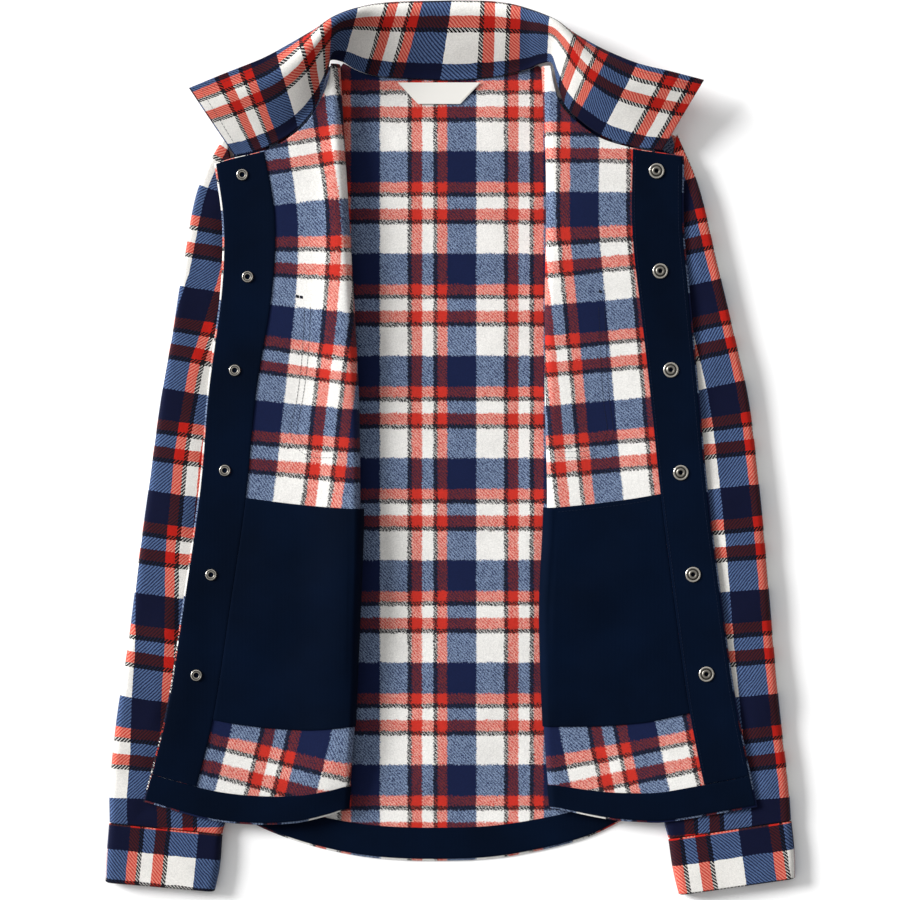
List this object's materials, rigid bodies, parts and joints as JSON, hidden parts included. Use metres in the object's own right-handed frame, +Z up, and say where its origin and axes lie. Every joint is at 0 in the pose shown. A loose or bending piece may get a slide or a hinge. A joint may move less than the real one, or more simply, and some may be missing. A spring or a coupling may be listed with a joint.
{
  "type": "shacket",
  "caption": "Plaid snap-front overshirt jacket laid open on its back, fronts turned back to show the inside, with facings, inner pocket bags and an open collar.",
  "frame": {"origin": "on the table under the middle of the outline, the centre of the lowest plane", "axes": "+X across the garment to the right as seen from above, +Y from the hem to the neck, +Z up from the table"},
  "size_m": [0.6214, 0.8049, 0.0436],
  "materials": {
    "plaid": "brushed twill, off-white, coral, red, black and navy check",
    "navy": "smooth navy knit",
    "satin": "white satin, blank",
    "metal": "antique plated"
  },
  "bodies": {
    "root": {"back": "plaid", "front_left": "plaid", "front_right": "plaid", "sleeve_left": "plaid", "sleeve_right": "plaid", "cuff_left": "plaid", "cuff_right": "plaid", "collar_upper": "plaid", "collar_under": "plaid", "placket_facing_left": "navy", "placket_facing_right": "navy", "hem_facing_left": "navy", "hem_facing_right": "navy", "hem_facing_back": "navy", "pocket_bag_left": "navy", "pocket_bag_right": "navy", "neck_label": "satin", "snap_socket_1": "metal", "snap_socket_2": "metal", "snap_socket_3": "metal", "snap_socket_4": "metal", "snap_socket_5": "metal", "snap_socket_6": "metal", "snap_stud_1": "metal", "snap_stud_2": "metal", "snap_stud_3": "metal", "snap_stud_4": "metal", "snap_stud_5": "metal", "snap_stud_6": "metal"}
  },
  "joints": []
}
